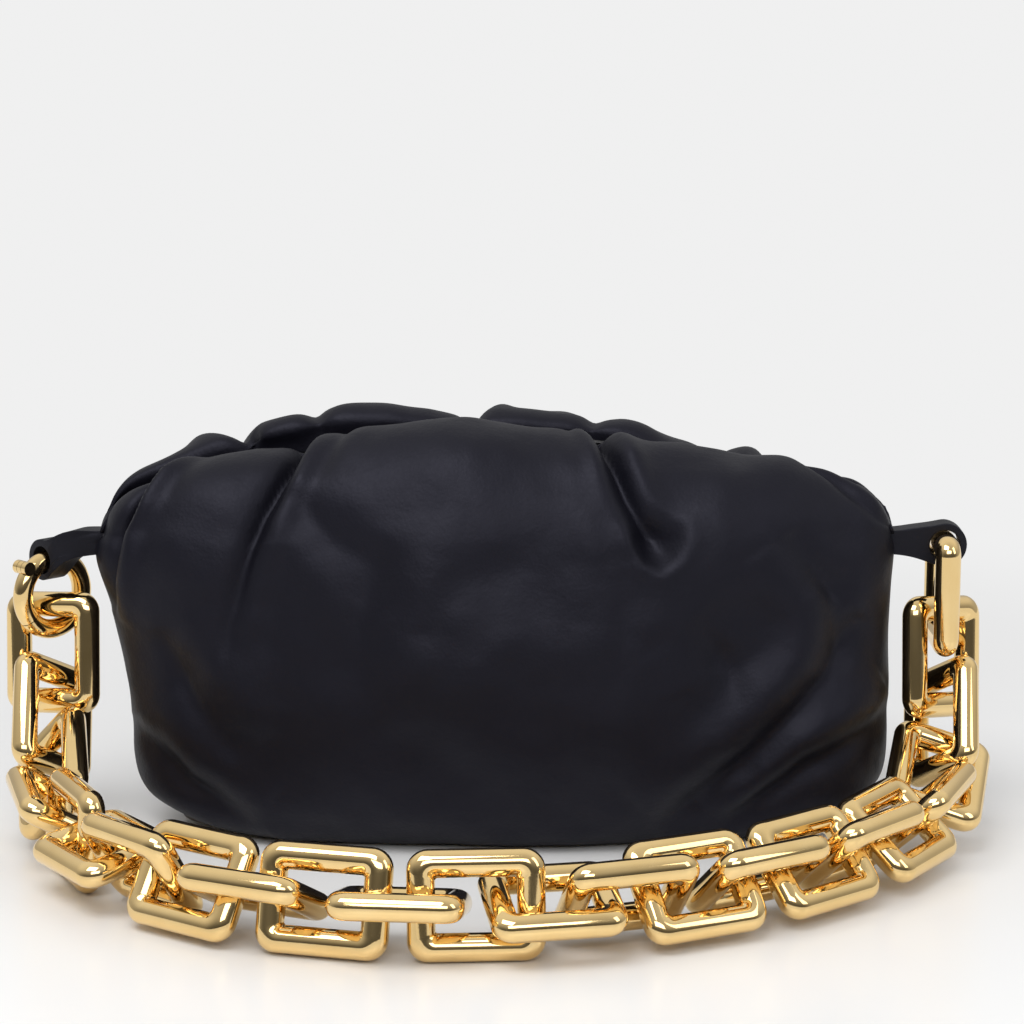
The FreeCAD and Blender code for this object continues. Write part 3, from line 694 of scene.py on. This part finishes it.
# %% Metal finishes
def gold_finish():
    finish = Finish("polished_gold", Metallic=1.0)
    wear = finish.noise(scale=60.0, detail=5.0, rough=0.6)
    hairs = finish.noise(scale=900.0, detail=2.0)
    tone = finish.ramp(wear, ((0.25, (0.86, 0.61, 0.27)), (0.75, (0.92, 0.68, 0.33))))
    finish.set("Base Color", tone)
    finish.set("Roughness", 0.055 + 0.07 * wear ** 2.0)
    waviness = finish.noise(scale=45.0, detail=1.0)
    finish.bump(0.8 * waviness + 0.2 * hairs, depth=0.00012, strength=0.12)
    return finish.material


def metal_finish(name, light, rough):
    finish = Finish(name, Metallic=1.0)
    stretched = finish.node("ShaderNodeMapping", {}, {
        "Vector": finish.place, "Scale": (30.0, 900.0, 900.0)})
    brushed = finish.noise(scale=1.0, at=stretched.outputs["Vector"])
    dark = tuple(part * 0.8 for part in light)
    finish.set("Base Color", finish.ramp(brushed, ((0.3, dark), (0.7, light))))
    finish.set("Roughness", rough + 0.12 * brushed)
    finish.bump(brushed, depth=0.00006, strength=0.3)
    return finish.material


gold = gold_finish()
steel = metal_finish("black_frame", (0.030, 0.029, 0.031), rough=0.3)
magnet = metal_finish("magnet_plate", (0.45, 0.45, 0.47), rough=0.2)
print("metal finishes", gold.name, steel.name, magnet.name)

# %% [markdown]
# The lining is a dark plain weave, and the base board is covered in the same kind of cloth. Two sets of
# fine waves, multiplied, give the threads that cross; drawing each thread would cost far more faces than
# anyone could see through the mouth.


# %% Cloth finish
def cloth_finish(name, tint):
    finish = Finish(name, Sheen_Weight=0.2)
    waves = []
    for direction in ("X", "Z"):
        wave = finish.node("ShaderNodeTexWave", {"bands_direction": direction}, {
            "Vector": finish.place, "Scale": 420.0, "Distortion": 0.4})
        waves.append(Value(finish, wave.outputs["Fac"]))
    weave = waves[0] * waves[1]
    light = tuple(part * 1.8 for part in tint)
    finish.set("Base Color", finish.ramp(weave, ((0.0, tint), (1.0, light))))
    finish.set("Roughness", 0.75 + 0.15 * finish.noise(scale=40.0))
    finish.bump(weave, depth=0.0002, strength=0.4)
    return finish.material


cloth = cloth_finish("lining_cloth", (0.022, 0.021, 0.024))
board = cloth_finish("base_board", (0.05, 0.045, 0.04))
print("cloth finishes", cloth.name, board.name)

# %% [markdown]
# Each new piece takes its finish here. So does each CAD node that stays in view: its own shape is right,
# so only the material in its slots changes, and the record says which slot that is.


# %% Paint
def paint(piece, material):
    piece.data.materials.clear()
    piece.data.materials.append(material)


for panel in (front_leather, rear_leather):
    paint(panel, leather)
for half in (front_lining, rear_lining):
    paint(half, cloth)
for loop in (right_band, left_band):
    paint(loop, loop_leather)
for link in links.values():
    paint(link, gold)
SLOT_FINISH = {"gold": gold, "frame_metal": steel, "magnet": magnet, "board": board}
kept = [part for part in frame["record"]["subparts"] if part["material_slot"] in SLOT_FINISH]
for part in kept:
    for holder in frame["nodes"][part["node"]].material_slots:
        holder.material = SLOT_FINISH[part["material_slot"]]
print("CAD nodes given a finish", len(kept))

# %% [markdown]
# Each loop and link says what it moves with. The leather is sewn to the pouch below and to one half of
# the mouth frame above; here the leather and lining sheets stay where they are laid, and the CAD pieces
# they stand for are hidden. The loops swing with the strap, and each gold link follows its own CAD link.

# %% Rides
for jaw, panel, half in (("front", front_leather, front_lining), ("rear", rear_leather, rear_lining)):
    for piece, slot in ((panel, "leather"), (half, "cloth")):
        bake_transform(piece)
    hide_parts("leather_pouch", f"{jaw}_lip", f"{jaw}_hem")
    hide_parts("lining")
for body, names in frame["record"]["behaviour"]["bodies"].items():
    for name in names:
        if name in links:
            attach(links[name], body)
            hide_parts(name)
for side, loop in (("right", right_band), ("left", left_band)):
    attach(loop, "strap")
    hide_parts(f"{side}_loop")
print("pieces that ride: sheets 4, links", len(links), "loops 2")

# %% [markdown]
# The bag stands on a pale floor. Far from it the floor fades to one even pale tone, for the eye and for
# reflections alike, so the ground looks clean and still keeps the bag's shadow. A lit backdrop could do
# the same, but its edge would show in other views.

# %% Floor
PALE = (0.87, 0.87, 0.87)
FLOOR_HALF, FADE_FROM, FADE_TO = 60.0, 0.26, 0.62
bm = bmesh.new()
bmesh.ops.create_grid(bm, x_segments=2, y_segments=2, size=FLOOR_HALF)
floor = finished("floor", bm)
ground = Finish("pale_floor", Roughness=0.28, Specular_IOR_Level=0.35)
ground.set("Base Color", ground.ramp(ground.noise(scale=3.0), ((0.0, (0.85, 0.85, 0.85)), (1.0, PALE))))
reach = ground.node("ShaderNodeVectorMath", {"operation": "LENGTH"}, {0: ground.place})
far = ground.smooth(reach.outputs["Value"], FADE_FROM, FADE_TO)
rays = ground.node("ShaderNodeLightPath").outputs
seen = sum((Value(ground, rays[name]) for name in ("Is Glossy Ray", "Is Transmission Ray")),
           Value(ground, rays["Is Camera Ray"]))
even = ground.node("ShaderNodeEmission", {}, {"Color": (*PALE, 1), "Strength": 1.0})
mixed = ground.node("ShaderNodeMixShader", {}, {"Fac": far * seen})
ground.put(mixed.inputs[1], ground.shader.outputs["BSDF"])
ground.put(mixed.inputs[2], even.outputs["Emission"])
ground.put(ground.tree.nodes["Material Output"].inputs["Surface"], mixed.outputs["Shader"])
paint(floor, ground.material)
floor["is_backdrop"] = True
print("floor", 2 * FLOOR_HALF, "m across, even from", FADE_TO, "m out")

# %% [markdown]
# The surround is bright overhead and behind, and dim in front, as in a studio. It is what polished metal
# shows: the step from bright to dim gives the links their pale and dark bands.

# %% Surround
LIGHT_LEAST, LIGHT_OVERHEAD, LIGHT_BEHIND = 0.10, 0.38, 0.35
world = bpy.data.worlds.new("surround")
bpy.context.scene.world = world
world.use_nodes = True
sky = Nodes(world.node_tree, "Generated")
overhead = sky.smooth(sky.axis("Z"), 0.1, 0.75)
behind = sky.smooth(sky.axis("Y"), -0.75, 0.35)
light = LIGHT_LEAST + LIGHT_OVERHEAD * overhead + LIGHT_BEHIND * behind
back = world.node_tree.nodes["Background"]
sky.put(back.inputs["Color"], sky.ramp(light, ((0.0, (0, 0, 0)), (1.0, (1.0, 1.0, 1.0)))))
back.inputs["Strength"].default_value = 1.0
print("surround from", LIGHT_LEAST, "to", LIGHT_LEAST + LIGHT_OVERHEAD + LIGHT_BEHIND)

# %% [markdown]
# Three wide lamps: a key high on the left, one in front that lays the soft sheen along the lip, and a weak
# fill on the right. Wide lamps give soft shadows, and their power is kept low enough for a colour to
# render about as it is written.


# %% Lamps
def soft_light(name, place, aim, width, height, power):
    light = bpy.data.lights.new(name, "AREA")
    light.shape, light.size, light.size_y, light.energy = "RECTANGLE", width, height, power
    lamp = bpy.data.objects.new(name, light)
    lamp.location = place
    lamp.rotation_euler = (Vector(aim) - Vector(place)).to_track_quat("-Z", "Y").to_euler()
    bpy.context.collection.objects.link(lamp)


BAG = (0, 0, 0.09)
soft_light("key", (-0.45, -0.75, 1.4), BAG, width=1.2, height=0.7, power=13)
soft_light("front", (0.1, -1.7, 1.05), BAG, width=1.5, height=0.6, power=9)
soft_light("fill", (1.3, -0.7, 0.9), BAG, width=0.5, height=0.9, power=3)
print("lamps", [lamp.name for lamp in bpy.data.lights])

# %% [markdown]
# The camera stands where the photograph was taken: straight in front, a little above the bag and looking
# down at it, with a long lens, so that the chain in front isn't much larger than the bag behind it.

# %% Camera
AIM = Vector((5.7, 0, 121)) * MM
ELEVATION, DISTANCE, LENS, SENSOR = math.radians(11.0), 1.15, 106.0, 36.0
lens = bpy.data.cameras.new("camera")
lens.lens, lens.sensor_width = LENS, SENSOR
camera = bpy.data.objects.new("camera", lens)
camera.location = AIM + DISTANCE * Vector((0, -math.cos(ELEVATION), math.sin(ELEVATION)))
camera.rotation_euler = (AIM - camera.location).to_track_quat("-Z", "Y").to_euler()
bpy.context.collection.objects.link(camera)
bpy.context.scene.camera = camera
bpy.context.scene.view_settings.view_transform = "Standard"
print("camera", round(DISTANCE, 2), "m away, lens", LENS, "mm")

# %% [markdown]
# Last, the box of the CAD model and the box of the dressed bag are printed side by side, because soft
# leather may stand only a little proud of the solids.

# %% Sizes and finish
boxes = {"cad": CAD_BOX, "visual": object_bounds()}
boxes = {name: [list(corner) for corner in box] for name, box in boxes.items()}
print("boxes in metres", boxes)
